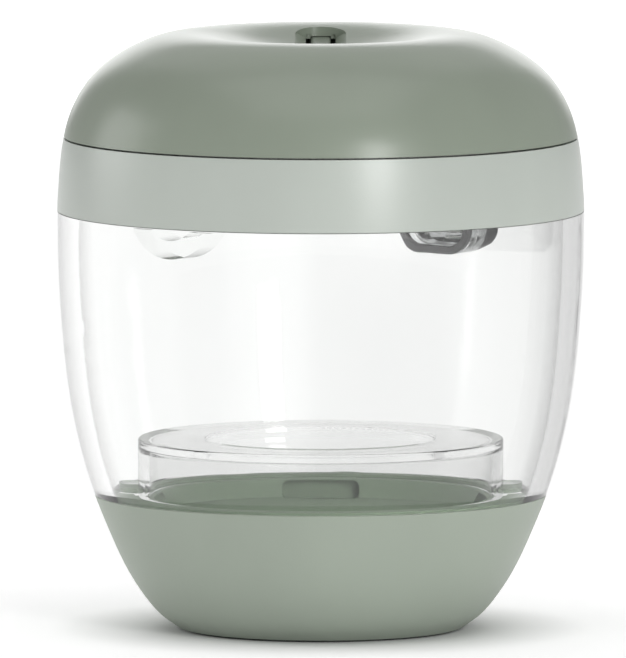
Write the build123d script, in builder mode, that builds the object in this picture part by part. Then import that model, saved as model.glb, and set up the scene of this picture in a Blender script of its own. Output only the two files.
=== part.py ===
"""Portable UV soother steriliser: a clear chamber on a bowl-shaped base, under a hinged domed head.

The soother stands on a clear holder ring with its handle hanging into the well of the base. The head
carries the UV lamp, the board and the battery, and it hinges open at the back right.
Millimetres. Origin: centre of the face it stands on. +Z is up, and the front faces -Y.
"""

import os

from build123d import *

os.makedirs("parts", exist_ok=True)

# ---- Driving dimensions -------------------------------------------------------------------------

# Outside of the body, as (radius, height) points from the foot to the crest of the dome
BASE_CURVE = [(19.6, 0.3), (21.3, 1.5), (24.1, 4.5), (26.9, 9.0), (28.95, 13.5), (30.92, 18.4)]
CUP_CURVE = [
    (30.95, 18.5), (32.25, 22.5), (33.73, 28.5), (34.71, 34.5), (35.46, 42.0), (35.87, 49.0), (36.0, 57.3),
]
BAND_CURVE = [(36.0, 57.4), (35.86, 60.5), (35.6, 64.0), (35.14, 67.25)]
DOME_CURVE = [
    (35.08, 67.5), (34.25, 70.5), (32.8, 73.5), (30.9, 76.0), (28.5, 78.05), (25.6, 79.75), (22.2, 81.1),
    (18.4, 81.6), (14.8, 81.22), (10.0, 80.05), (5.0, 78.85), (0.0, 78.3),
]
FOOT_SLOPE = (1.2, 1.0)           # direction of the outside where the base starts
LOW_SEAM_SLOPE = (0.37, 1.0)      # where the base meets the clear wall
RIM_SLOPE = (0.0, 1.0)            # where the clear wall meets the head
TOP_SEAM_SLOPE = (-0.2, 1.0)      # where the band meets the dome
TO_CENTRE = (-1.0, 0.0)           # level, towards the centre line

# Walls
BASE_WALL = 2.2
CUP_INSIDE = [
    (28.25, 18.5), (29.55, 22.5), (31.0, 28.5), (31.93, 34.5), (32.62, 42.0), (33.0, 49.0), (33.1, 57.3),
]
CUP_INNER_R = 33.1
BAND_INNER_R = 33.6
BAND_BOTTOM_Z = 57.0              # cuts from below start here
BEYOND = 40.0                     # a radius outside the whole body
DOME_INSIDE = [
    (33.3, 67.5), (32.3, 70.5), (30.8, 73.0), (28.9, 75.0), (26.4, 76.8), (23.4, 78.2), (20.0, 79.1),
    (17.0, 79.3), (13.5, 78.9), (9.5, 77.9), (5.0, 76.9), (0.0, 76.4),
]

# Base
BASE_UNDERSIDE_Z = 0.6
BASE_FLOOR_Z = 2.6
BASE_INSIDE_LOW = (20.3, 2.6)
BASE_INSIDE_HIGH = (28.75, 18.4)
FOOT_INNER_R = 16.2
FOOT_OUTER_R = 19.0
FOOT_TOP_Z = 1.2
SEAL_SEAT_Z = 16.8
SEAL_SEAT_R = 26.3
SEAL_SEAT_OUTER_R = 28.5
SEAL_LEDGE = [(26.3, 16.8), (28.6, 16.8), (28.6, 16.0), (27.6, 14.6), (26.3, 15.6)]
LINER_FLANGE_Z = 17.6
LINER_R = 28.1
RIM_TOP_Z = 19.0
RIM_INNER_R = 25.6
LEDGE_Z = 18.6
LEDGE_INNER_R = 22.8
WELL_CURVE = [(21.8, 16.2), (18.4, 15.1), (15.2, 12.6), (12.2, 9.0), (8.0, 5.6), (0.0, 4.2)]
WELL_UNDERSIDE = [(25.6, 14.4), (19.4, 13.4), (16.0, 10.6), (13.0, 7.0), (8.4, 3.9), (0.0, 2.7)]
LINER_NOTCH_WIDTH = 10.9
LINER_NOTCH_HEIGHT = 2.6
LINER_NOTCH_TOP_Z = 18.4
LINER_NOTCH_INNER_R = 20.8
LINER_NOTCH_DEPTH = 3.2
BASE_SCREW_R = 13.0
BASE_SCREW_ANGLES = (30.0, 150.0, 270.0)
BASE_SCREW_HEAD_Z = 0.75
BASE_SCREW_SHOULDER_Z = 1.8
BASE_POST_TOP_Z = 7.6

# Soother holder
HOLDER_R = 25.0
HOLDER_WALL = 1.5
HOLDER_BOTTOM_Z = 18.7
HOLDER_TOP_Z = 26.5
HOLDER_PLATE = 1.3
HOLDER_HOLE_R = 15.6
HOLDER_ROUND = 0.3
LUG_R = 27.9
LUG_WIDTH = 5.0
LUG_TOP_Z = 20.2

# Hinge, at the back right
HINGE_ANGLE = 53.0                # from +X towards +Y
HINGE_R = 36.7                    # distance of the hinge axis from the centre line
HINGE_Z = 57.3
HINGE_OPENING = 12.8              # width of the notch in the two walls
KNUCKLE_R = 1.6
PIN_R = 0.75
PIN_HOLE_R = 0.8
CENTRE_KNUCKLE = 5.4
OUTER_KNUCKLE = 3.0
KNUCKLE_GAP = 0.3
MODULE_WIDTH = 12.4
MODULE_BOTTOM_Z = 49.6
MODULE_TOP_Z = 57.0
MODULE_CORNER = 3.6
MODULE_FLARE = 2.4                # the housing spreads this far each side on its way to the wall
MODULE_INNER_R = 27.1
SLEEVE_OUTER_R = 29.0             # the sleeve between the bezel and the housing
BEZEL_THICKNESS = 0.9
BEZEL_BAR = 1.1
PLUNGER_R = 29.6                  # distance of the plunger from the centre line
PLUNGER_ACROSS = -1.8             # off the middle of the module
MAGNET_ACROSS = 2.2
MAGNET_Z = 52.4
SPRING_BOTTOM_Z = 51.0
SPRING_R = 1.48
SPRING_WIRE_R = 0.2
PLUNGER_SHAFT_R = 1.1
PLUNGER_HOLE_R = 1.4
PLUNGER_FLANGE_R = 1.8
PLUNGER_FLANGE_Z = 54.9
PLUNGER_FLANGE_TOP_Z = 55.6
EAR_START = CENTRE_KNUCKLE / 2 + KNUCKLE_GAP
EAR_OUTLINE = [
    (31.0, HINGE_Z - 1.7), (HINGE_R, HINGE_Z - KNUCKLE_R), (HINGE_R, HINGE_Z - 0.3), (31.0, HINGE_Z - 0.3),
]
HINGE_NOTCH_INNER_R = 31.0

# Catch, opposite the hinge
CATCH_ANGLE = HINGE_ANGLE + 180.0
CATCH_Z = 60.1
CATCH_RING_R = 7.0
CATCH_HOLE_R = 4.5
CATCH_INNER = 29.2
CATCH_OUTER = 32.2
CATCH_TOP_Z = 65.0
HOOK_WIDTH = 6.4
HOOK_OUTLINE = [
    (27.2, 58.6), (28.6, 58.6), (29.45, 59.7), (29.45, 60.2), (28.6, 61.4), (28.6, 66.2), (25.4, 66.2),
    (25.4, 65.0), (27.2, 64.0),
]

# Head
CEILING_BOTTOM_Z = 66.2
CEILING_TOP_Z = 67.8
CEILING_R = 33.2
CEILING_HOLE_R = 6.0
LIP_R = 32.6
HEAD_SEAL_INNER_R = 34.2
HEAD_SEAL_OUTER_R = 35.2
HEAD_SEAL_Z = 57.45
HEAD_SEAL_TOP_Z = 58.4
WINDOW_R = 7.0
WINDOW_Z = 66.9
WINDOW_TOP_Z = 67.9
WINDOW_SEAL_INNER_R = 5.9
WINDOW_SEAL_TOP_Z = 68.4
LAMP_R = 9.4
LAMP_BOARD_Z = 71.0
LAMP_BOARD_TOP_Z = 72.2
REFLECTOR_OUTLINE = [(5.9, 68.4), (9.4, 68.4), (9.4, 71.0), (8.2, 71.0), (7.8, 70.4), (5.9, 68.9)]
LED_CIRCLE_R = 3.4
LED_COUNT = 3
LED_SIZE = 3.5
LED_HEIGHT = 1.1
LED_LENS_R = 1.2
LED_LENS_HEIGHT = 0.2
BOARD_Z = 69.2
BOARD_THICKNESS = 1.0
BOARD_INNER_R = 10.0
BOARD_R = 29.0
BOARD_TOP_Z = BOARD_Z + BOARD_THICKNESS
BOARD_POST_R = 24.0
BOARD_POST_ANGLES = (20.0, 140.0, 260.0)
# Parts on the board, as (place, footprint, height)
CHIPS = [
    ((14.0, -6.0), (5.0, 5.0), 0.9), ((20.0, 3.0), (4.0, 3.0), 1.2), ((13.0, 6.0), (3.0, 6.0), 1.6),
    ((17.0, -15.0), (4.0, 4.0), 2.2), ((7.0, -20.0), (6.0, 2.6), 1.8), ((17.0, 16.0), (2.6, 3.2), 1.0),
]
BATTERY_X = -18.0
BATTERY_SIZE = (12.4, 25.0)
BATTERY_THICKNESS = 4.2
PAD_X = -18.2
PAD_SIZE = (11.0, 22.0)
PAD_THICKNESS = 0.4
HEAD_SCREW_R = 30.2
HEAD_SCREW_ANGLES = (0.0, 150.0, 200.0, 290.0)
HEAD_SCREW_HEAD_Z = 65.0
HEAD_SCREW_TIP_Z = 72.6

# Hinge leaf
LEAF_BOTTOM_Z = 57.6
LEAF_OUTER = 32.4
LEAF_FLANGE_Z = 64.9
LEAF_WIDTH = 12.0
LEAF_OUTLINE = [
    (27.0, CEILING_BOTTOM_Z), (27.0, LEAF_FLANGE_Z), (30.4, LEAF_FLANGE_Z), (30.4, LEAF_BOTTOM_Z),
    (34.0, LEAF_BOTTOM_Z), (34.0, CEILING_BOTTOM_Z),
]
LEAF_ARM_OUTLINE = [
    (31.0, LEAF_BOTTOM_Z), (HINGE_R, LEAF_BOTTOM_Z), (HINGE_R, HINGE_Z + KNUCKLE_R),
    (31.0, HINGE_Z + KNUCKLE_R),
]
LEAF_SCREW_R = 28.9
LEAF_SCREW_SPREAD = 3.9

# Strap pocket in the dimple
POCKET_LENGTH = 29.6
POCKET_WIDTH = 6.9
POCKET_THROAT = 4.1
POCKET_UNDERCUT = 1.8             # the slots beside the bar run on under the dome this far
POCKET_UNDERCUT_Z = 79.6
POCKET_OPEN_Z = 80.2
POCKET_CHEEK = 1.4                # the cheeks slope down this far from the dimple to the throat
POCKET_FLOOR_Z = 75.2
POCKET_WALL = 1.4
BAR_WIDTH = 2.7
BAR_END_Z = 79.9
BAR_MIDDLE_Z = 79.1
BAR_THICKNESS = 2.2
BAR_TENON = 0.6                   # each end sits this deep in a socket

# Back of the dome
USB_WIDTH = 8.9
USB_HEIGHT = 3.2
USB_DEPTH = 7.3
USB_MOUTH_R = 33.3
USB_SKIN = 0.3
USB_BACK = 0.8
USB_TONGUE = (6.7, 0.7)
BUTTON_ANGLE = 122.0
BUTTON_Z = 72.4
BUTTON_R = 3.2
BUTTON_STEM_R = 1.2
SWITCH_INNER_R = 24.4
SWITCH_OUTER_R = 27.6
SWITCH_WIDTH = 5.0
SWITCH_HALF_HEIGHT = 1.8
SWITCH_STEM_R = 0.9
LIGHT_ANGLE = 107.0
LIGHT_GUIDE_R = 0.8


# ---- Helpers ------------------------------------------------------------------------------------


def turn(outline, mode=Mode.ADD):
    """Turn a closed outline of (radius, height) points about the centre line."""
    with BuildSketch(Plane.XZ) as section:
        with BuildLine():
            Polyline(*outline, close=True)
        make_face()
    revolve(section.sketch, axis=Axis.Z, mode=mode)


def turn_curve(curve, start, end, mode=Mode.ADD):
    """Turn everything inside a curved outline, which runs up from its first point to its last."""
    low = curve[0][1]
    top_radius, high = curve[-1]
    with BuildSketch(Plane.XZ) as section:
        with BuildLine():
            Spline(*curve, tangents=[start, end])
            if top_radius > 0:
                Line(curve[-1], (0, high))
            Line((0, high), (0, low))
            Line((0, low), curve[0])
        make_face()
    revolve(section.sketch, axis=Axis.Z, mode=mode)


def inset(curve, amount):
    """The same curve with every radius smaller by an amount."""
    return [(radius - amount, height) for radius, height in curve]


def ring_outline(inner, outer, low, high):
    """Outline of a plain ring."""
    return [(inner, low), (outer, low), (outer, high), (inner, high)]


def radial_plane(angle):
    """Upright plane through the centre line. Local x runs outwards and local y runs up."""
    outwards = Vector(1, 0, 0).rotate(Axis.Z, angle)
    across = Vector(0, -1, 0).rotate(Axis.Z, angle)
    return Plane(origin=(0, 0, 0), x_dir=outwards, z_dir=across)


def facing_plane(angle, radius, height=0.0):
    """Upright plane that faces outwards at a radius. Local x runs across and local y runs up."""
    outwards = Vector(1, 0, 0).rotate(Axis.Z, angle)
    across = Vector(0, 1, 0).rotate(Axis.Z, angle)
    return Plane(origin=outwards * radius + Vector(0, 0, height), x_dir=across, z_dir=outwards)


def level_plane(angle, radius, height):
    """Level plane at a radius. Local x runs outwards."""
    outwards = Vector(1, 0, 0).rotate(Axis.Z, angle)
    return Plane(origin=outwards * radius + Vector(0, 0, height), x_dir=outwards, z_dir=(0, 0, 1))


def post(angle, radius, low, high, size, mode=Mode.ADD, across=0.0):
    """Upright round post, or hole, at a radius from the centre line."""
    with BuildSketch(level_plane(angle, radius, low)) as foot:
        with Locations((0, across)):
            Circle(size)
    extrude(foot.sketch, amount=high - low, mode=mode)


def block(angle, inner, outer, width, low, high, mode=Mode.ADD):
    """Block between two radii at one side of the centre line."""
    with BuildSketch(facing_plane(angle, inner, (low + high) / 2)) as face:
        Rectangle(width, high - low)
    extrude(face.sketch, amount=outer - inner, mode=mode)


def cross_drive(angle, radius, height, length, width):
    """Cross-shaped recess in the underside of a screw head."""
    with BuildSketch(level_plane(angle, radius, height)) as drive:
        Rectangle(length, width)
        Rectangle(width, length)
    extrude(drive.sketch, amount=0.55, mode=Mode.SUBTRACT)


def across_the_hinge(outline, start, length, mode=Mode.ADD):
    """Extrude a (radius, height) outline along the hinge axis, from a distance off its middle."""
    plane = radial_plane(HINGE_ANGLE)
    with BuildSketch(plane.offset(start)) as face:
        with BuildLine():
            Polyline(*outline, close=True)
        make_face()
    extrude(face.sketch, amount=length, mode=mode)


def along_the_hinge(radius, start, length, mode=Mode.ADD):
    """Cylinder on the hinge axis, from a distance off its middle."""
    plane = radial_plane(HINGE_ANGLE)
    with BuildSketch(plane.offset(start)) as face:
        with Locations((HINGE_R, HINGE_Z)):
            Circle(radius)
    extrude(face.sketch, amount=length, mode=mode)


def module_face(margin, flare=0.0):
    """Front of the hinge module, drawn in by a margin or spread sideways by a flare."""
    with BuildSketch() as face:
        with Locations((0, (MODULE_TOP_Z + MODULE_BOTTOM_Z) / 2)):
            Rectangle(MODULE_WIDTH + 2 * (flare - margin), MODULE_TOP_Z - MODULE_BOTTOM_Z - 2 * margin)
        fillet(face.vertices().group_by(Axis.Y)[0], MODULE_CORNER + flare - margin)
    return face.sketch


def module_block(margin, inner, outer, mode=Mode.ADD):
    """The hinge module's outline between two radii."""
    face = facing_plane(HINGE_ANGLE, inner) * module_face(margin)
    extrude(face, amount=outer - inner, mode=mode)


def save(part, name):
    """Label a finished piece and write it."""
    part.label = name
    export_step(part, "parts/" + name + ".step")


# ---- Base ---------------------------------------------------------------------------------------

with BuildPart() as base_shell:
    turn_curve(BASE_CURVE, FOOT_SLOPE, LOW_SEAM_SLOPE)
    # Room inside, above the floor
    inside = [point for point in inset(BASE_CURVE, BASE_WALL) if point[1] > BASE_FLOOR_Z]
    turn(
        [(0, BASE_FLOOR_Z), BASE_INSIDE_LOW] + inside[:-1] + [BASE_INSIDE_HIGH, (0, BASE_INSIDE_HIGH[1])],
        Mode.SUBTRACT,
    )
    # Seat for the seal
    turn(SEAL_LEDGE)
    turn(ring_outline(SEAL_SEAT_R, SEAL_SEAT_OUTER_R, SEAL_SEAT_Z, RIM_TOP_Z), Mode.SUBTRACT)
    # Underside and the groove for the foot ring
    turn([(0, 0), (FOOT_INNER_R, 0), (FOOT_INNER_R, BASE_UNDERSIDE_Z), (0, BASE_UNDERSIDE_Z)], Mode.SUBTRACT)
    turn(ring_outline(FOOT_INNER_R, FOOT_OUTER_R + 0.1, 0, FOOT_TOP_Z), Mode.SUBTRACT)
    for screw_angle in BASE_SCREW_ANGLES:
        post(screw_angle, BASE_SCREW_R, BASE_UNDERSIDE_Z, BASE_SCREW_SHOULDER_Z, 2.4, Mode.SUBTRACT)
        post(screw_angle, BASE_SCREW_R, BASE_SCREW_SHOULDER_Z, BASE_FLOOR_Z, 1.4, Mode.SUBTRACT)
save(base_shell.part, "base_shell")

with BuildPart() as foot_ring:
    turn([
        (FOOT_INNER_R + 0.1, FOOT_TOP_Z), (FOOT_INNER_R + 0.1, 0.3), (FOOT_INNER_R + 0.4, 0),
        (FOOT_OUTER_R - 0.3, 0), (FOOT_OUTER_R, 0.3), (FOOT_OUTER_R, FOOT_TOP_Z),
    ])
save(foot_ring.part, "foot_ring")

with BuildPart() as base_seal:
    turn(ring_outline(26.6, 28.2, SEAL_SEAT_Z, LINER_FLANGE_Z))
save(base_seal.part, "base_seal")

with BuildPart() as base_liner:
    with BuildSketch(Plane.XZ):
        with BuildLine():
            Spline(*WELL_CURVE, tangents=[(-0.9, -0.2), TO_CENTRE])
            Line(WELL_CURVE[-1], WELL_UNDERSIDE[-1])
            Spline(*WELL_UNDERSIDE, tangents=[(-1.0, 0.0), TO_CENTRE])
            Polyline(
                WELL_UNDERSIDE[0], (26.0, LINER_FLANGE_Z), (LINER_R, LINER_FLANGE_Z), (LINER_R, RIM_TOP_Z),
                (RIM_INNER_R, RIM_TOP_Z), (RIM_INNER_R - 0.2, LEDGE_Z), (LEDGE_INNER_R, LEDGE_Z),
                WELL_CURVE[0],
            )
        make_face()
    revolve(axis=Axis.Z)
    # Finger notches under the ledge, at the four sides
    notch_middle_z = LINER_NOTCH_TOP_Z - LINER_NOTCH_HEIGHT / 2
    for side in (0.0, 90.0, 180.0, 270.0):
        with BuildSketch(facing_plane(side, LINER_NOTCH_INNER_R, notch_middle_z)) as notch:
            RectangleRounded(LINER_NOTCH_WIDTH, LINER_NOTCH_HEIGHT, 0.9)
        extrude(notch.sketch, amount=LINER_NOTCH_DEPTH, mode=Mode.SUBTRACT)
    # Gaps in the rim for the holder's lugs
    for side in (0.0, 180.0):
        block(side, RIM_INNER_R - 1.6, LINER_R + 0.9, LUG_WIDTH + 1.0, LEDGE_Z, RIM_TOP_Z + 0.5, Mode.SUBTRACT)
    # Screw posts
    for screw_angle in BASE_SCREW_ANGLES:
        post(screw_angle, BASE_SCREW_R, BASE_FLOOR_Z, BASE_POST_TOP_Z, 2.4)
        post(screw_angle, BASE_SCREW_R, BASE_FLOOR_Z, BASE_POST_TOP_Z - 0.2, 1.25, Mode.SUBTRACT)
save(base_liner.part, "base_liner")

with BuildPart() as base_screws:
    for screw_angle in BASE_SCREW_ANGLES:
        post(screw_angle, BASE_SCREW_R, BASE_SCREW_HEAD_Z, BASE_SCREW_SHOULDER_Z, 2.1)
        post(screw_angle, BASE_SCREW_R, BASE_SCREW_SHOULDER_Z, BASE_POST_TOP_Z - 0.4, 1.2)
        cross_drive(screw_angle, BASE_SCREW_R, BASE_SCREW_HEAD_Z, 2.6, 0.5)
save(base_screws.part, "base_screws")

# ---- Chamber ------------------------------------------------------------------------------------

with BuildPart() as clear_cup:
    turn_curve(CUP_CURVE, LOW_SEAM_SLOPE, RIM_SLOPE)
    turn_curve(CUP_INSIDE, LOW_SEAM_SLOPE, RIM_SLOPE, Mode.SUBTRACT)
    block(HINGE_ANGLE, HINGE_NOTCH_INNER_R, BEYOND, HINGE_OPENING, HINGE_Z - 2.0, HINGE_Z + 1.0, Mode.SUBTRACT)
save(clear_cup.part, "clear_cup")

with BuildPart() as catch_ring:
    with BuildSketch(facing_plane(CATCH_ANGLE, CATCH_INNER, CATCH_Z)) as ring_face:
        Circle(CATCH_RING_R)
        Circle(CATCH_HOLE_R, mode=Mode.SUBTRACT)
    extrude(ring_face.sketch, amount=CATCH_OUTER + 2.0 - CATCH_INNER)
    # The outer face follows the wall below the rim and stands clear of the band above it
    turn(ring_outline(CUP_INNER_R - 0.05, BEYOND, 50.0, 57.0), Mode.SUBTRACT)
    turn(ring_outline(CATCH_OUTER, BEYOND, 56.9, 70.0), Mode.SUBTRACT)
    # Flat top, and room for the hook's nose to pass the upper arc
    block(CATCH_ANGLE, 20.0, BEYOND, 20.0, CATCH_TOP_Z, CATCH_TOP_Z + 5.0, Mode.SUBTRACT)
    block(CATCH_ANGLE, 20.0, CATCH_INNER + 1.1, 20.0, 62.0, CATCH_TOP_Z + 1.0, Mode.SUBTRACT)
save(catch_ring.part, "catch_ring")

# ---- Hinge module -------------------------------------------------------------------------------

with BuildPart() as hinge_housing:
    loft([
        facing_plane(HINGE_ANGLE, SLEEVE_OUTER_R) * module_face(0.0),
        facing_plane(HINGE_ANGLE, CUP_INNER_R + 1.0) * module_face(0.0, MODULE_FLARE),
    ])
    turn(ring_outline(CUP_INNER_R - 0.1, BEYOND, 45.0, 60.0), Mode.SUBTRACT)
    # The bottom rises towards the wall
    across_the_hinge([(SLEEVE_OUTER_R + 0.4, 49.0), (36.0, 49.0), (36.0, 53.2)], -9.0, 18.0, Mode.SUBTRACT)
    module_block(BEZEL_BAR, SLEEVE_OUTER_R, 31.6, Mode.SUBTRACT)
    for side_start in (EAR_START, -EAR_START - OUTER_KNUCKLE):
        across_the_hinge(EAR_OUTLINE, side_start, OUTER_KNUCKLE)
        along_the_hinge(KNUCKLE_R, side_start, OUTER_KNUCKLE)
    along_the_hinge(PIN_HOLE_R, -MODULE_WIDTH / 2, MODULE_WIDTH, Mode.SUBTRACT)
    post(HINGE_ANGLE, PLUNGER_R, 54.0, 58.0, PLUNGER_HOLE_R, Mode.SUBTRACT, PLUNGER_ACROSS)
save(hinge_housing.part, "hinge_housing")

with BuildPart() as hinge_sleeve:
    module_block(0.0, MODULE_INNER_R, SLEEVE_OUTER_R)
    module_block(BEZEL_BAR, MODULE_INNER_R, SLEEVE_OUTER_R, Mode.SUBTRACT)
    post(HINGE_ANGLE, PLUNGER_R, 54.0, 58.0, PLUNGER_HOLE_R, Mode.SUBTRACT, PLUNGER_ACROSS)
save(hinge_sleeve.part, "hinge_sleeve")

with BuildPart() as hinge_bezel:
    module_block(0.0, MODULE_INNER_R - BEZEL_THICKNESS, MODULE_INNER_R)
    module_block(BEZEL_BAR, MODULE_INNER_R - BEZEL_THICKNESS, MODULE_INNER_R, Mode.SUBTRACT)
    chamfer(hinge_bezel.faces().sort_by(Axis((0, 0, 0), radial_plane(HINGE_ANGLE).x_dir))[0].edges(), 0.2)
save(hinge_bezel.part, "hinge_bezel")

with BuildPart() as hinge_pin:
    pin_end = MODULE_WIDTH / 2 - KNUCKLE_GAP
    along_the_hinge(PIN_R, -pin_end, 2 * pin_end)
save(hinge_pin.part, "hinge_pin")

with BuildPart() as interlock_magnet:
    with BuildSketch(level_plane(HINGE_ANGLE, PLUNGER_R - 0.6, MAGNET_Z)) as magnet_face:
        with Locations((0, MAGNET_ACROSS)):
            RectangleRounded(2.6, 3.4, 0.3)
    extrude(magnet_face.sketch, amount=3.4)
save(interlock_magnet.part, "interlock_magnet")

with BuildPart() as lift_plunger:
    post(HINGE_ANGLE, PLUNGER_R, MAGNET_Z - 0.1, HINGE_Z - 0.1, PLUNGER_SHAFT_R, across=PLUNGER_ACROSS)
    post(
        HINGE_ANGLE, PLUNGER_R, PLUNGER_FLANGE_Z, PLUNGER_FLANGE_TOP_Z, PLUNGER_FLANGE_R,
        across=PLUNGER_ACROSS,
    )
    chamfer(lift_plunger.edges().group_by(Axis.Z)[-1], 0.3)
save(lift_plunger.part, "lift_plunger")

with BuildPart() as lift_spring:
    spring_base = level_plane(HINGE_ANGLE, PLUNGER_R, SPRING_BOTTOM_Z + 0.3)
    spring_base.origin += spring_base.y_dir * PLUNGER_ACROSS
    with BuildLine(spring_base) as spring_line:
        Helix(pitch=0.8, height=3.2, radius=SPRING_R)
    with BuildSketch(Plane(origin=spring_line.line @ 0, z_dir=spring_line.line % 0)):
        Circle(SPRING_WIRE_R)
    sweep(path=spring_line.line, is_frenet=True)
save(lift_spring.part, "lift_spring")

# ---- Soother holder -----------------------------------------------------------------------------

with BuildPart() as soother_holder:
    with BuildSketch(Plane.XZ) as holder_section:
        with BuildLine():
            Polyline(
                (HOLDER_R - HOLDER_WALL, HOLDER_BOTTOM_Z), (HOLDER_R, HOLDER_BOTTOM_Z),
                (HOLDER_R, HOLDER_TOP_Z), (HOLDER_HOLE_R, HOLDER_TOP_Z),
                (HOLDER_HOLE_R, HOLDER_TOP_Z - HOLDER_PLATE),
                (HOLDER_R - HOLDER_WALL, HOLDER_TOP_Z - HOLDER_PLATE), close=True,
            )
        make_face()
        top_corners = holder_section.vertices().filter_by(lambda corner: corner.Y > HOLDER_TOP_Z - 0.1)
        fillet(top_corners, HOLDER_ROUND)
        inner_corner = holder_section.vertices().filter_by(
            lambda corner: HOLDER_TOP_Z - HOLDER_PLATE - 0.1 < corner.Y < HOLDER_TOP_Z - HOLDER_PLATE + 0.1
            and corner.X > HOLDER_HOLE_R + 3
        )
        fillet(inner_corner, 2 * HOLDER_ROUND)
    revolve(axis=Axis.Z)
    # Lugs that drop into the gaps in the rim
    for side in (0.0, 180.0):
        with BuildSketch(level_plane(side, 0.0, HOLDER_BOTTOM_Z)) as lug:
            with BuildLine():
                Polyline(
                    (HOLDER_R - 1.0, LUG_WIDTH / 2), (LUG_R - 1.6, LUG_WIDTH / 2),
                )
                ThreePointArc((LUG_R - 1.6, LUG_WIDTH / 2), (LUG_R, 0), (LUG_R - 1.6, -LUG_WIDTH / 2))
                Polyline(
                    (LUG_R - 1.6, -LUG_WIDTH / 2), (HOLDER_R - 1.0, -LUG_WIDTH / 2),
                    (HOLDER_R - 1.0, LUG_WIDTH / 2),
                )
            make_face()
        extrude(lug.sketch, amount=LUG_TOP_Z - HOLDER_BOTTOM_Z)
save(soother_holder.part, "soother_holder")

# ---- Head: shells -------------------------------------------------------------------------------

with BuildPart() as band_shell:
    turn_curve(BAND_CURVE, RIM_SLOPE, TOP_SEAM_SLOPE)
    turn([
        (0, BAND_BOTTOM_Z), (BAND_INNER_R, BAND_BOTTOM_Z), (BAND_INNER_R, 64.8), (LIP_R, 65.6),
        (LIP_R, CEILING_BOTTOM_Z), (BAND_INNER_R, CEILING_BOTTOM_Z), (BAND_INNER_R, 68.0), (0, 68.0),
    ], Mode.SUBTRACT)
    turn(
        ring_outline(HEAD_SEAL_INNER_R - 0.1, HEAD_SEAL_OUTER_R + 0.1, BAND_BOTTOM_Z, HEAD_SEAL_TOP_Z),
        Mode.SUBTRACT,
    )
    block(HINGE_ANGLE, HINGE_NOTCH_INNER_R, BEYOND, HINGE_OPENING, BAND_BOTTOM_Z, HINGE_Z + 2.0, Mode.SUBTRACT)
save(band_shell.part, "band_shell")

with BuildPart() as head_seal:
    turn(ring_outline(HEAD_SEAL_INNER_R, HEAD_SEAL_OUTER_R, HEAD_SEAL_Z, HEAD_SEAL_TOP_Z))
    block(HINGE_ANGLE, HINGE_NOTCH_INNER_R, BEYOND, HINGE_OPENING, BAND_BOTTOM_Z, HINGE_Z + 2.0, Mode.SUBTRACT)
save(head_seal.part, "head_seal")

with BuildPart() as dome_hollow:
    turn_curve(DOME_INSIDE, TOP_SEAM_SLOPE, TO_CENTRE)
    with BuildSketch(Plane.XY.offset(POCKET_FLOOR_Z - POCKET_WALL)) as pocket_well:
        RectangleRounded(
            POCKET_WIDTH + 2 * POCKET_WALL, POCKET_LENGTH + 2 * (POCKET_UNDERCUT + POCKET_WALL), 3.0,
        )
    extrude(pocket_well.sketch, amount=10.0, mode=Mode.SUBTRACT)
    for angle in HEAD_SCREW_ANGLES:
        post(angle, HEAD_SCREW_R, CEILING_TOP_Z, 80.0, 2.3, Mode.SUBTRACT)


def cheek_section(across, surface_z):
    """Section of the strap pocket's mouth where the dimple's surface is at a height."""
    low = surface_z - POCKET_CHEEK
    spread = POCKET_WIDTH / 2 + 1.0
    with BuildSketch(Plane.XZ.offset(-across)) as section:
        with BuildLine():
            Polyline(
                (-POCKET_THROAT / 2, low), (POCKET_THROAT / 2, low), (spread, surface_z + 1.0),
                (-spread, surface_z + 1.0), close=True,
            )
        make_face()
    return section.sketch


with BuildPart() as strap_pocket:
    dimple = [(radius, height) for radius, height in DOME_CURVE if radius <= POCKET_LENGTH / 2]
    sections = [cheek_section(-radius, height) for radius, height in dimple]
    sections += [cheek_section(radius, height) for radius, height in dimple[-2::-1]]
    loft(sections, ruled=True)
    with BuildSketch(Plane.XY.offset(POCKET_FLOOR_Z)) as mouth:
        SlotOverall(POCKET_LENGTH, POCKET_WIDTH + 0.1, rotation=90)
    extrude(mouth.sketch, amount=10.0, mode=Mode.INTERSECT)
    # Slots beside the bar and room under it, with solid ends beyond the mouth to hold the bar
    with BuildSketch(Plane.XY.offset(POCKET_FLOOR_Z)) as slots:
        RectangleRounded(POCKET_THROAT, POCKET_LENGTH + 2 * POCKET_UNDERCUT, 0.9)
        with Locations((0, POCKET_LENGTH / 2 + POCKET_UNDERCUT), (0, -POCKET_LENGTH / 2 - POCKET_UNDERCUT)):
            Rectangle(BAR_WIDTH, 2 * POCKET_UNDERCUT, mode=Mode.SUBTRACT)
    extrude(slots.sketch, amount=POCKET_UNDERCUT_Z - POCKET_FLOOR_Z)
    with BuildSketch(Plane.XY.offset(POCKET_FLOOR_Z)) as throat:
        RectangleRounded(POCKET_THROAT, POCKET_LENGTH - 0.4, 0.5)
    extrude(throat.sketch, amount=POCKET_OPEN_Z - POCKET_FLOOR_Z)
    # Sockets for the ends of the bar
    with BuildSketch(Plane.XY.offset(BAR_END_Z - BAR_THICKNESS - 0.05)) as sockets:
        Rectangle(BAR_WIDTH + 0.1, POCKET_LENGTH + 2 * BAR_TENON + 0.1)
    extrude(sockets.sketch, amount=BAR_THICKNESS + 0.1)

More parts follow.
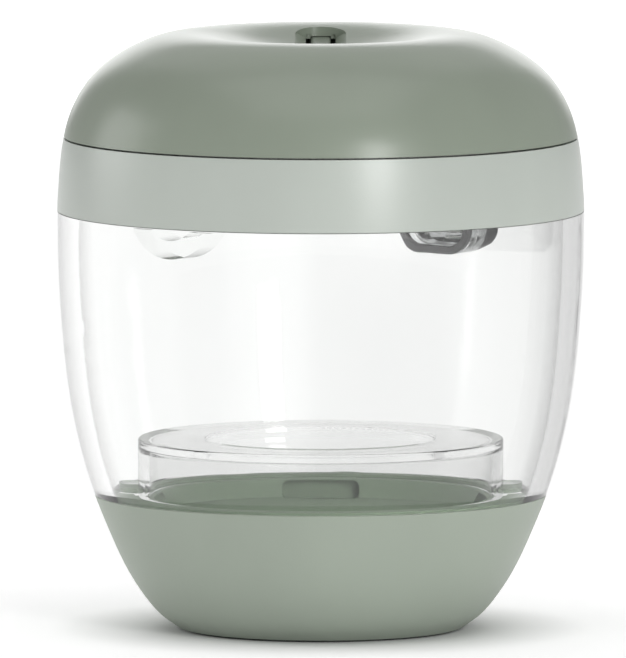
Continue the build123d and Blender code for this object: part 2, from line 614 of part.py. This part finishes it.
with BuildPart() as dome_cover:
    turn_curve(DOME_CURVE, TOP_SEAM_SLOPE, TO_CENTRE)
    add(dome_hollow.part, mode=Mode.SUBTRACT)
    add(strap_pocket.part, mode=Mode.SUBTRACT)
    # Screw holes
    for angle in HEAD_SCREW_ANGLES:
        post(angle, HEAD_SCREW_R, 67.0, 73.0, 0.95, Mode.SUBTRACT)
    # Charging port, button hole and light hole at the back
    with BuildSketch(facing_plane(90.0, 28.0, BOARD_TOP_Z + USB_HEIGHT / 2)) as port:
        RectangleRounded(USB_WIDTH + 0.4, USB_HEIGHT + 0.4, 1.7)
    extrude(port.sketch, amount=8.0, mode=Mode.SUBTRACT)
    with BuildSketch(facing_plane(BUTTON_ANGLE, 26.0, BUTTON_Z)) as button_hole:
        Circle(BUTTON_R + 0.3)
    extrude(button_hole.sketch, amount=12.0, mode=Mode.SUBTRACT)
    with BuildSketch(facing_plane(LIGHT_ANGLE, 26.0, BUTTON_Z)) as light_hole:
        Circle(0.9)
    extrude(light_hole.sketch, amount=12.0, mode=Mode.SUBTRACT)
save(dome_cover.part, "dome_cover")

with BuildPart() as strap_bar:
    bar_half = POCKET_LENGTH / 2 + BAR_TENON
    with BuildSketch(Plane.YZ.offset(-BAR_WIDTH / 2)) as bar_side:
        with BuildLine():
            ThreePointArc((-bar_half, BAR_END_Z), (0, BAR_MIDDLE_Z), (bar_half, BAR_END_Z))
            Line((bar_half, BAR_END_Z), (bar_half, BAR_END_Z - BAR_THICKNESS))
            ThreePointArc(
                (bar_half, BAR_END_Z - BAR_THICKNESS), (0, BAR_MIDDLE_Z - BAR_THICKNESS),
                (-bar_half, BAR_END_Z - BAR_THICKNESS),
            )
            Line((-bar_half, BAR_END_Z - BAR_THICKNESS), (-bar_half, BAR_END_Z))
        make_face()
    extrude(bar_side.sketch, amount=BAR_WIDTH)
    long_edges = strap_bar.edges().filter_by(lambda edge: edge.length > POCKET_LENGTH / 2)
    fillet(long_edges, 0.35)
save(strap_bar.part, "strap_bar")

# ---- Head: lamp and boards ----------------------------------------------------------------------


def leaf_screw_posts(low, high, size, mode=Mode.ADD):
    """Two upright posts or holes where the hinge leaf's screws stand."""
    with BuildSketch(level_plane(HINGE_ANGLE, LEAF_SCREW_R, low)) as feet:
        with Locations((0, LEAF_SCREW_SPREAD), (0, -LEAF_SCREW_SPREAD)):
            Circle(size)
    extrude(feet.sketch, amount=high - low, mode=mode)


with BuildPart() as lamp_ceiling:
    turn([
        (CEILING_HOLE_R, CEILING_BOTTOM_Z), (CEILING_R, CEILING_BOTTOM_Z), (CEILING_R, CEILING_TOP_Z),
        (WINDOW_R + 0.1, CEILING_TOP_Z), (WINDOW_R + 0.1, WINDOW_Z), (CEILING_HOLE_R, WINDOW_Z),
    ])
    for angle in BOARD_POST_ANGLES:
        post(angle, BOARD_POST_R, CEILING_TOP_Z, BOARD_Z, 2.0)
    for angle in HEAD_SCREW_ANGLES:
        post(angle, HEAD_SCREW_R, 66.0, 68.0, 1.1, Mode.SUBTRACT)
    leaf_screw_posts(66.0, 68.0, 1.0, Mode.SUBTRACT)
save(lamp_ceiling.part, "lamp_ceiling")

with BuildPart() as lamp_window:
    turn([(0, WINDOW_Z), (WINDOW_R, WINDOW_Z), (WINDOW_R, WINDOW_TOP_Z), (0, WINDOW_TOP_Z)])
save(lamp_window.part, "lamp_window")

with BuildPart() as window_seal:
    turn(ring_outline(WINDOW_SEAL_INNER_R, WINDOW_R, WINDOW_TOP_Z, WINDOW_SEAL_TOP_Z))
save(window_seal.part, "window_seal")

with BuildPart() as reflector:
    turn(REFLECTOR_OUTLINE)
save(reflector.part, "reflector")

with BuildPart() as lamp_board:
    turn([(0, LAMP_BOARD_Z), (LAMP_R, LAMP_BOARD_Z), (LAMP_R, LAMP_BOARD_TOP_Z), (0, LAMP_BOARD_TOP_Z)])
save(lamp_board.part, "lamp_board")

with BuildPart() as uv_leds:
    with BuildSketch(Plane.XY.offset(LAMP_BOARD_Z - LED_HEIGHT)) as led_bases:
        with PolarLocations(LED_CIRCLE_R, LED_COUNT, start_angle=90):
            Rectangle(LED_SIZE, LED_SIZE)
    extrude(led_bases.sketch, amount=LED_HEIGHT)
    with BuildSketch(Plane.XY.offset(LAMP_BOARD_Z - LED_HEIGHT - LED_LENS_HEIGHT)) as led_lenses:
        with PolarLocations(LED_CIRCLE_R, LED_COUNT, start_angle=90):
            Circle(LED_LENS_R)
    extrude(led_lenses.sketch, amount=LED_LENS_HEIGHT)
save(uv_leds.part, "uv_leds")

with BuildPart() as main_board:
    turn(ring_outline(BOARD_INNER_R, BOARD_R, BOARD_Z, BOARD_TOP_Z))
    for angle in HEAD_SCREW_ANGLES:
        post(angle, HEAD_SCREW_R, BOARD_Z, BOARD_TOP_Z, 2.8, Mode.SUBTRACT)
save(main_board.part, "main_board")

with BuildPart() as board_parts:
    for place, footprint, tall in CHIPS:
        with BuildSketch(Plane.XY.offset(BOARD_TOP_Z)) as chip:
            with Locations(place):
                Rectangle(*footprint)
        extrude(chip.sketch, amount=tall)
save(board_parts.part, "board_parts")

with BuildPart() as battery_pad:
    with BuildSketch(Plane.XY.offset(BOARD_TOP_Z)) as pad_face:
        with Locations((PAD_X, 0)):
            Rectangle(*PAD_SIZE)
    extrude(pad_face.sketch, amount=PAD_THICKNESS)
save(battery_pad.part, "battery_pad")

with BuildPart() as battery:
    with BuildSketch(Plane.XY.offset(BOARD_TOP_Z + PAD_THICKNESS)) as cell_face:
        with Locations((BATTERY_X, 0)):
            RectangleRounded(*BATTERY_SIZE, 1.0)
    extrude(cell_face.sketch, amount=BATTERY_THICKNESS)
    fillet(battery.edges().filter_by(Axis.Y), 0.9)
save(battery.part, "battery")

with BuildPart() as usb_socket:
    usb_face = facing_plane(90.0, USB_MOUTH_R - USB_DEPTH, BOARD_TOP_Z + USB_HEIGHT / 2)
    with BuildSketch(usb_face) as socket_shell:
        RectangleRounded(USB_WIDTH, USB_HEIGHT, 1.5)
    extrude(socket_shell.sketch, amount=USB_DEPTH)
    with BuildSketch(usb_face.offset(USB_BACK)) as socket_mouth:
        RectangleRounded(USB_WIDTH - 2 * USB_SKIN, USB_HEIGHT - 2 * USB_SKIN, 1.25)
    extrude(socket_mouth.sketch, amount=USB_DEPTH, mode=Mode.SUBTRACT)
    with BuildSketch(usb_face) as tongue:
        Rectangle(*USB_TONGUE)
    extrude(tongue.sketch, amount=USB_DEPTH - USB_BACK)
save(usb_socket.part, "usb_socket")

with BuildPart() as button_switch:
    block(
        BUTTON_ANGLE, SWITCH_INNER_R, SWITCH_OUTER_R, SWITCH_WIDTH, BOARD_TOP_Z,
        BUTTON_Z + SWITCH_HALF_HEIGHT,
    )
    with BuildSketch(facing_plane(BUTTON_ANGLE, SWITCH_OUTER_R - 1.8, BUTTON_Z)) as switch_hole:
        Circle(SWITCH_STEM_R + 0.3)
    extrude(switch_hole.sketch, amount=2.0, mode=Mode.SUBTRACT)
save(button_switch.part, "button_switch")

with BuildPart() as switch_stem:
    with BuildSketch(facing_plane(BUTTON_ANGLE, SWITCH_OUTER_R - 1.0, BUTTON_Z)) as actuator:
        Circle(SWITCH_STEM_R)
    extrude(actuator.sketch, amount=1.7)
save(switch_stem.part, "switch_stem")

with BuildPart() as light_guide:
    with BuildSketch(facing_plane(LIGHT_ANGLE, 27.0, BUTTON_Z)) as guide_face:
        Circle(LIGHT_GUIDE_R)
    extrude(guide_face.sketch, amount=6.4)
    with BuildSketch(facing_plane(LIGHT_ANGLE, 26.6, BUTTON_Z - 0.9)) as guide_foot:
        Rectangle(2 * LIGHT_GUIDE_R, 2.6)
    extrude(guide_foot.sketch, amount=1.8)
save(light_guide.part, "light_guide")

with BuildPart() as power_button:
    turn_curve(
        [(radius + 0.35, height) for radius, height in DOME_CURVE[:5]], TOP_SEAM_SLOPE, (-1.0, 0.85),
    )
    with BuildSketch(facing_plane(BUTTON_ANGLE, 29.9, BUTTON_Z)) as button_face:
        Circle(BUTTON_R)
    extrude(button_face.sketch, amount=8.0, mode=Mode.INTERSECT)
    with BuildSketch(facing_plane(BUTTON_ANGLE, 28.3, BUTTON_Z)) as stem:
        Circle(BUTTON_STEM_R)
    extrude(stem.sketch, amount=2.0)
save(power_button.part, "power_button")

with BuildPart() as head_screws:
    for angle in HEAD_SCREW_ANGLES:
        post(angle, HEAD_SCREW_R, HEAD_SCREW_HEAD_Z, CEILING_BOTTOM_Z, 1.7)
        post(angle, HEAD_SCREW_R, CEILING_BOTTOM_Z, HEAD_SCREW_TIP_Z, 0.9)
        cross_drive(angle, HEAD_SCREW_R, HEAD_SCREW_HEAD_Z, 2.0, 0.4)
save(head_screws.part, "head_screws")

# ---- Head: hinge leaf and catch hook ------------------------------------------------------------

with BuildPart() as hinge_leaf:
    across_the_hinge(LEAF_OUTLINE, -LEAF_WIDTH / 2, LEAF_WIDTH)
    turn(ring_outline(LEAF_OUTER, BEYOND, 55.0, 70.0), Mode.SUBTRACT)
    across_the_hinge(LEAF_ARM_OUTLINE, -CENTRE_KNUCKLE / 2, CENTRE_KNUCKLE)
    along_the_hinge(KNUCKLE_R, -CENTRE_KNUCKLE / 2, CENTRE_KNUCKLE)
    along_the_hinge(PIN_HOLE_R, -CENTRE_KNUCKLE, 2 * CENTRE_KNUCKLE, Mode.SUBTRACT)
    leaf_screw_posts(LEAF_FLANGE_Z - 0.1, CEILING_BOTTOM_Z + 0.1, 1.0, Mode.SUBTRACT)
save(hinge_leaf.part, "hinge_leaf")

with BuildPart() as leaf_screws:
    leaf_screw_posts(LEAF_FLANGE_Z - 1.0, LEAF_FLANGE_Z, 1.5)
    leaf_screw_posts(LEAF_FLANGE_Z, 68.6, 0.9)
save(leaf_screws.part, "leaf_screws")

with BuildPart() as catch_hook:
    with BuildSketch(radial_plane(CATCH_ANGLE).offset(-HOOK_WIDTH / 2)) as hook_section:
        with BuildLine():
            Polyline(*HOOK_OUTLINE, close=True)
        make_face()
    extrude(hook_section.sketch, amount=HOOK_WIDTH)
save(catch_hook.part, "catch_hook")
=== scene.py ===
"""Looks of the portable soother steriliser: finishes, stage, soft lights and camera."""
import math

import bpy
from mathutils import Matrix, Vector


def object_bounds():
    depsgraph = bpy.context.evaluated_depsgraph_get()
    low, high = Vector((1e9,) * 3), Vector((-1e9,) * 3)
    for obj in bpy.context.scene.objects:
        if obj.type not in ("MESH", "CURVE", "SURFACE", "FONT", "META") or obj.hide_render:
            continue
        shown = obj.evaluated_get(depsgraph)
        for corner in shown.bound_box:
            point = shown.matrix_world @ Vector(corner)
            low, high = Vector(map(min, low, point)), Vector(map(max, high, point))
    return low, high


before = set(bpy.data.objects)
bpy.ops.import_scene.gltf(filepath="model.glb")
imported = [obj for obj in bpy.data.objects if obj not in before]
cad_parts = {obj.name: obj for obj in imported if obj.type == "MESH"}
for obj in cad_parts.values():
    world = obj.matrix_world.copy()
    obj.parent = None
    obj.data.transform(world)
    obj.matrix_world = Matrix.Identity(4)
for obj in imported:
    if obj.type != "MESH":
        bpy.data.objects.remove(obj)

CAD_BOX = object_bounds()
LOW, HIGH = CAD_BOX
MM = 0.001

# ---- Studio and camera values ---------------------------------------------------------------------

SURROUND_LIGHT = 0.38                 # brightness of the surround as a light
SURROUND_SEEN = 0.95                  # and as the camera sees it
FLOOR_SIZE = 12.0
FLOOR_GLOW = 0.34
PAINTED_SHADOW_RADIUS = 21.0 * MM         # the floor doesn't glow inside this, under the object: painted contact shadow
PAINTED_SHADOW_EDGE_RADIUS = 37.0 * MM         # and glows fully outside this; between the two the painted shadow fades out

CARD_RADIUS = 75.0 * MM
CARD_BOTTOM = -30.0 * MM
CARD_TOP = 160.0 * MM
CARD_STEPS = 48
CARD_LEFT_END = 0.98
CARD_RIGHT_END = 0.66
# Brightness of the card from its left edge, -1, to its right edge, 1
CARD_GREYS = (
    (-0.98, 1.03), (-0.62, 1.05), (-0.30, 1.02), (-0.22, 1.02), (-0.14, 1.07), (-0.06, 1.07), (0.0, 0.99),
    (0.12, 0.96), (0.26, 0.97), (0.30, 1.00), (0.38, 0.97), (0.50, 0.93), (0.62, 0.76), (0.85, 0.70),
)

VIEW_HEIGHT = 89.928 * MM             # height of what the camera sees, at the object
CAMERA_ELEVATION = math.radians(5.47)
CAMERA_DISTANCE = 3.2
AIM = Vector((-1.05 * MM, 0, 41.0 * MM))
SENSOR = 36.0                         # longer side of the camera's sensor

# ---- Node helpers -------------------------------------------------------------------------------


class Shader:
    """A new material with the few node patterns that the finishes below share."""

    def __init__(self, name):
        self.material = bpy.data.materials.new(name)
        self.material.use_nodes = True
        self.tree = self.material.node_tree
        self.surface = self.tree.nodes["Principled BSDF"]
        self.place = self.tree.nodes.new("ShaderNodeTexCoord").outputs["Object"]

    def set(self, **values):
        """Set constant sockets of the surface, named with underscores for spaces."""
        for name, value in values.items():
            self.surface.inputs[name.replace("_", " ")].default_value = value

    def link(self, source, name):
        """Feed a socket of the surface."""
        self.tree.links.new(source, self.surface.inputs[name])

    def noise(self, size, detail=3.0, stretch=(1, 1, 1)):
        """Noise with features of about this size, in metres."""
        mapping = self.tree.nodes.new("ShaderNodeMapping")
        mapping.inputs["Scale"].default_value = stretch
        texture = self.tree.nodes.new("ShaderNodeTexNoise")
        texture.inputs["Scale"].default_value = 1.0 / size
        texture.inputs["Detail"].default_value = detail
        self.tree.links.new(self.place, mapping.inputs["Vector"])
        self.tree.links.new(mapping.outputs["Vector"], texture.inputs["Vector"])
        return texture.outputs["Fac"]

    def spread(self, source, low, high, start=0.3, end=0.7):
        """Stretch a value over a range."""
        node = self.tree.nodes.new("ShaderNodeMapRange")
        node.inputs["From Min"].default_value = start
        node.inputs["From Max"].default_value = end
        node.inputs["To Min"].default_value = low
        node.inputs["To Max"].default_value = high
        self.tree.links.new(source, node.inputs["Value"])
        return node.outputs["Result"]

    def mix(self, factor, first, second):
        """Mix two colours by a factor. Each is three numbers or another node's output."""
        node = self.tree.nodes.new("ShaderNodeMix")
        node.data_type = "RGBA"
        for name, colour in (("A", first), ("B", second)):
            if isinstance(colour, tuple):
                node.inputs[name].default_value = (*colour, 1)
            else:
                self.tree.links.new(colour, node.inputs[name])
        self.tree.links.new(factor, node.inputs["Factor"])
        return node.outputs["Result"]

    def bump(self, height, depth, strength=1.0):
        """Raise the surface by a height texture, to a depth in metres."""
        node = self.tree.nodes.new("ShaderNodeBump")
        node.inputs["Distance"].default_value = depth
        node.inputs["Strength"].default_value = strength
        self.tree.links.new(height, node.inputs["Height"])
        self.tree.links.new(node.outputs["Normal"], self.surface.inputs["Normal"])


def shade(colour, amount):
    """A colour made lighter or darker."""
    return tuple(min(1.0, channel * amount) for channel in colour)


# ---- Finishes -----------------------------------------------------------------------------------


def moulded(name, colour, rough=0.42, uneven=0.035, grain=0.00035, depth=0.000012, gloss=0.5):
    """Opaque moulded plastic: faint flow marks, a fine eroded grain and a soft sheen."""
    s = Shader(name)
    flow = s.spread(s.noise(0.018, 2.0, (1, 1, 0.45)), 0.0, 1.0)
    s.link(s.mix(flow, shade(colour, 1 - uneven), shade(colour, 1 + uneven)), "Base Color")
    s.link(s.spread(s.noise(0.009, 3.0), rough - 0.015, rough + 0.015), "Roughness")
    s.bump(s.noise(grain, 2.0), depth)
    s.set(IOR=1.48, Specular_IOR_Level=gloss)
    return s.material


def clear(name, tint, rough=0.015, ior=1.5, wave=0.000004, painted_edge_shade=0.0):
    """Clear moulded plastic: a trace of tint, very slight flow waves and faint wipe marks.

    Where the surface turns away from the view, the tint is darkened by the painted edge shade amount: a
    painted dark outline, far deeper than the trace of tint would give through the extra plastic.
    """
    s = Shader(name)
    weight = s.tree.nodes.new("ShaderNodeLayerWeight")
    # Facing mask for the painted dark edge: shade painted where the wall turns away from the view
    depth = s.spread(weight.outputs["Facing"], 0.0, 1.0, 0.65, 0.95)
    even = s.mix(s.spread(s.noise(0.02), 0.0, 1.0), shade(tint, 0.992), tint)
    s.link(s.mix(depth, even, shade(tint, 1 - painted_edge_shade)), "Base Color")
    s.link(s.spread(s.noise(0.003, 5.0, (1, 1, 0.2)), 0.0, rough * 2, 0.35, 0.8), "Roughness")
    s.bump(s.noise(0.012, 1.0, (1, 1, 0.5)), wave)
    s.set(IOR=ior, Transmission_Weight=1.0)
    return s.material


def soft_rubber(name, colour):
    """Silicone: dull, with a powdery unevenness."""
    s = Shader(name)
    s.link(s.mix(s.spread(s.noise(0.003, 4.0), 0, 1), shade(colour, 0.9), shade(colour, 1.1)), "Base Color")
    s.link(s.spread(s.noise(0.001, 3.0), 0.6, 0.75), "Roughness")
    s.bump(s.noise(0.0004, 2.0), 0.00002)
    s.set(Sheen_Weight=0.15, Sheen_Roughness=0.5)
    return s.material


def metal(name, colour, rough=0.28, stretch=(1, 1, 12)):
    """Turned or rolled metal with fine lines one way."""
    s = Shader(name)
    lines = s.noise(0.0012, 4.0, stretch)
    s.link(s.mix(s.spread(lines, 0, 1), shade(colour, 0.85), shade(colour, 1.08)), "Base Color")
    s.link(s.spread(lines, rough - 0.08, rough + 0.08), "Roughness")
    s.bump(lines, 0.000006)
    s.set(Metallic=1.0)
    return s.material


def circuit_board(name):
    """Green solder mask over copper tracks."""
    s = Shader(name)
    tracks = s.tree.nodes.new("ShaderNodeTexBrick")
    tracks.inputs["Scale"].default_value = 260.0
    tracks.inputs["Mortar Size"].default_value = 0.03
    tracks.inputs["Color1"].default_value = (0.02, 0.12, 0.05, 1)
    tracks.inputs["Color2"].default_value = (0.025, 0.15, 0.06, 1)
    tracks.inputs["Mortar"].default_value = (0.05, 0.26, 0.11, 1)
    s.tree.links.new(s.place, tracks.inputs["Vector"])
    s.link(tracks.outputs["Color"], "Base Color")
    s.link(s.spread(s.noise(0.002), 0.3, 0.45), "Roughness")
    s.bump(tracks.outputs["Fac"], 0.00003)
    return s.material


GREEN_DOME = (0.244, 0.280, 0.226)
GREEN_BAND = (0.452, 0.488, 0.448)
GREEN_BASE = (0.315, 0.358, 0.300)
GREEN_INSIDE = (0.180, 0.235, 0.165)


def dress():
    """Give every carried-over CAD node its finish."""
    finishes = {
        moulded("dome_green", GREEN_DOME, 0.29, depth=0.000006): ["dome_cover", "power_button"],
        # The strap bar takes the dome green darkened to 0.8: painted shade for the pocket it sits in
        moulded("bar_green_painted_shade", shade(GREEN_DOME, 0.8), 0.4): ["strap_bar"],
        moulded("band_green", GREEN_BAND, 0.30, depth=0.000006): ["band_shell"],
        moulded("base_green", GREEN_BASE, 0.42): ["base_shell"],
        moulded("liner_green", GREEN_INSIDE, 0.6, gloss=0.12): ["base_liner"],
        clear("clear_wall", (0.985, 0.99, 0.985), painted_edge_shade=0.85): ["clear_cup", "light_guide"],
        clear("clear_holder", (0.90, 0.90, 0.90), 0.05, 1.12, painted_edge_shade=0.35): ["soother_holder"],
        clear("clear_catch", (0.985, 0.99, 0.985), 0.01, 1.02, painted_edge_shade=0.9): ["catch_ring"],
        clear("smoke_grey", (0.42, 0.43, 0.43), 0.03): ["hinge_housing"],
        clear("smoke_light", (0.86, 0.87, 0.87), 0.10): ["hinge_sleeve"],
        moulded("bezel_grey", (0.09, 0.09, 0.092), 0.25): ["hinge_bezel"],
        moulded("white_parts", (0.78, 0.78, 0.76), 0.35): [
            "lamp_ceiling", "lift_plunger", "catch_hook", "switch_stem",
        ],
        soft_rubber("silicone_grey", (0.09, 0.10, 0.09)): ["foot_ring", "base_seal"],
        soft_rubber("silicone_white", (0.62, 0.64, 0.61)): ["head_seal"],
        soft_rubber("silicone_black", (0.03, 0.03, 0.03)): ["window_seal", "battery_pad"],
        metal("machined_steel", (0.62, 0.62, 0.61)): [
            "base_screws", "head_screws", "leaf_screws", "hinge_pin", "hinge_leaf", "lift_spring",
        ],
        metal("nickel", (0.72, 0.70, 0.66), 0.2): ["usb_socket"],
        moulded("ferrite", (0.055, 0.055, 0.06), 0.5): ["interlock_magnet"],
        metal("bright_reflector", (0.88, 0.88, 0.88), 0.12): ["reflector"],
        clear("quartz", (0.95, 0.98, 1.0), 0.005, 1.46): ["lamp_window"],
        moulded("white_board", (0.8, 0.8, 0.78), 0.4): ["lamp_board"],
        moulded("led_package", (0.75, 0.68, 0.42), 0.3): ["uv_leds"],
        circuit_board("solder_mask"): ["main_board"],
        moulded("chip_black", (0.02, 0.02, 0.022), 0.45): ["board_parts", "button_switch"],
        metal("pouch_foil", (0.7, 0.7, 0.72), 0.35, (1, 1, 1)): ["battery"],
    }
    for finish, names in finishes.items():
        for name in names:
            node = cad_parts[name]
            node.data.materials.clear()
            node.data.materials.append(finish)
    for name in ("clear_cup", "soother_holder", "catch_ring"):
        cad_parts[name].visible_shadow = False


# ---- Stage --------------------------------------------------------------------------------------


def plane(name, centre, facing, width, height):
    """Flat card that faces a point."""
    mesh = bpy.data.meshes.new(name)
    half_w, half_h = width / 2, height / 2
    corners = [(-half_w, -half_h, 0), (half_w, -half_h, 0), (half_w, half_h, 0), (-half_w, half_h, 0)]
    mesh.from_pydata(corners, [], [(0, 1, 2, 3)])
    card = bpy.data.objects.new(name, mesh)
    card.location = centre
    card.rotation_mode = "QUATERNION"
    card.rotation_quaternion = (Vector(facing) - Vector(centre)).to_track_quat("Z", "Y")
    bpy.context.scene.collection.objects.link(card)
    return card


def floor_with_painted_shadow():
    """Matt white floor that glows evenly except under the object, where the glow fades out: the dark
    contact shadow there is partly real shadow from the lamps and partly painted shadow.
    """
    s = Shader("floor_white")
    s.link(s.mix(s.noise(0.3), (0.87, 0.87, 0.87), (0.88, 0.88, 0.88)), "Base Color")
    reach = s.tree.nodes.new("ShaderNodeVectorMath")
    reach.operation = "LENGTH"
    s.tree.links.new(s.place, reach.inputs[0])
    # The glow fades to nothing inside the painted shadow radius: painted contact shadow under the object
    glow = s.spread(reach.outputs["Value"], 0.0, FLOOR_GLOW, PAINTED_SHADOW_RADIUS, PAINTED_SHADOW_EDGE_RADIUS)
    s.link(glow, "Emission Strength")
    s.set(Roughness=0.9, Specular_IOR_Level=0.1, Emission_Color=(1, 1, 1, 1))
    return s.material


def lamp(name, azimuth, elevation, distance, width, height, power):
    """Softbox aimed at the object. Azimuth 0 is the front, and 90 is the right."""
    data = bpy.data.lights.new(name, "AREA")
    data.shape = "RECTANGLE"
    data.size = width
    data.size_y = height
    data.energy = power
    light = bpy.data.objects.new(name, data)
    a, e = math.radians(azimuth), math.radians(elevation)
    aim = (LOW + HIGH) / 2
    towards = Vector((math.sin(a) * math.cos(e), -math.cos(a) * math.cos(e), math.sin(e)))
    light.location = aim + towards * distance
    light.rotation_mode = "QUATERNION"
    light.rotation_quaternion = towards.to_track_quat("Z", "Y")
    bpy.context.scene.collection.objects.link(light)
    return light


def shade_for_clear_walls():
    """Curved card close behind the object that only light passing through clear walls can see.

    Its brightness falls off from the middle to the sides, which draws the edges of the walls.
    """
    mesh = bpy.data.meshes.new("surround_card")
    corners = []
    for step in range(CARD_STEPS + 1):
        turn = math.pi * step / CARD_STEPS
        x, y = CARD_RADIUS * math.cos(turn), CARD_RADIUS * math.sin(turn)
        corners += [(x, y, CARD_BOTTOM), (x, y, CARD_TOP)]
    faces = [(2 * i, 2 * i + 2, 2 * i + 3, 2 * i + 1) for i in range(CARD_STEPS)]
    mesh.from_pydata(corners, [], faces)
    card = bpy.data.objects.new("surround_card", mesh)
    bpy.context.scene.collection.objects.link(card)

    s = Shader("surround_card")
    split = s.tree.nodes.new("ShaderNodeSeparateXYZ")
    s.tree.links.new(s.place, split.inputs["Vector"])
    ramp = s.tree.nodes.new("ShaderNodeValToRGB")
    across = s.spread(split.outputs["X"], 0.0, 1.0, -CARD_RADIUS, CARD_RADIUS)
    s.tree.links.new(across, ramp.inputs["Fac"])
    for place, grey in CARD_GREYS:
        element = ramp.color_ramp.elements.new((place + 1) / 2)
        element.color = (grey, grey, grey, 1)
    for end, grey in ((0, CARD_LEFT_END), (-1, CARD_RIGHT_END)):
        ramp.color_ramp.elements[end].color = (grey, grey, grey, 1)
    s.link(ramp.outputs["Color"], "Emission Color")
    s.set(Base_Color=(0, 0, 0, 1), Emission_Strength=1.0, Specular_IOR_Level=0.0)
    card.data.materials.append(s.material)
    card.visible_camera = False
    card.visible_shadow = False
    card.visible_diffuse = False
    card.visible_glossy = False


def studio():
    """Pale floor, white surround, softboxes and the grey card that draws the clear edges.

    The surround is seen as white, and lights the object more softly.
    """
    world = bpy.data.worlds.new("surround")
    bpy.context.scene.world = world
    world.use_nodes = True
    background = world.node_tree.nodes["Background"]
    background.inputs["Color"].default_value = (1, 1, 1, 1)
    seen = world.node_tree.nodes.new("ShaderNodeMapRange")
    seen.inputs["To Min"].default_value = SURROUND_LIGHT
    seen.inputs["To Max"].default_value = SURROUND_SEEN
    path = world.node_tree.nodes.new("ShaderNodeLightPath")
    world.node_tree.links.new(path.outputs["Is Camera Ray"], seen.inputs["Value"])
    world.node_tree.links.new(seen.outputs["Result"], background.inputs["Strength"])

    floor = plane("floor", (0, 0, LOW.z), (0, 0, 1), FLOOR_SIZE, FLOOR_SIZE)
    floor.data.materials.append(floor_with_painted_shadow())

    lamp("key", 25.5, 15, 0.9, 0.16, 0.38, 3.0)
    lamp("fill", -105, 15, 1.2, 0.6, 0.6, 2.8)
    lamp("top", 0, 80, 1.0, 1.0, 1.0, 2.8)
    lamp("high_back", 180, 48, 1.2, 1.0, 0.7, 1.05)
    lamp("back", 180, 12, 1.3, 0.9, 0.5, 2.5)

    shade_for_clear_walls()


def camera():
    """Long lens in front, a little above the middle of the object."""
    data = bpy.data.cameras.new("camera")
    data.sensor_width = SENSOR
    data.lens = SENSOR * CAMERA_DISTANCE / VIEW_HEIGHT
    data.clip_start, data.clip_end = 0.1, 50.0
    view = bpy.data.objects.new("camera", data)
    back = Vector((0, -math.cos(CAMERA_ELEVATION), math.sin(CAMERA_ELEVATION)))
    view.location = AIM + back * CAMERA_DISTANCE
    view.rotation_mode = "QUATERNION"
    view.rotation_quaternion = (-back).to_track_quat("-Z", "Y")
    bpy.context.scene.collection.objects.link(view)
    bpy.context.scene.camera = view


dress()
studio()
camera()
bpy.context.scene.view_settings.view_transform = "Standard"
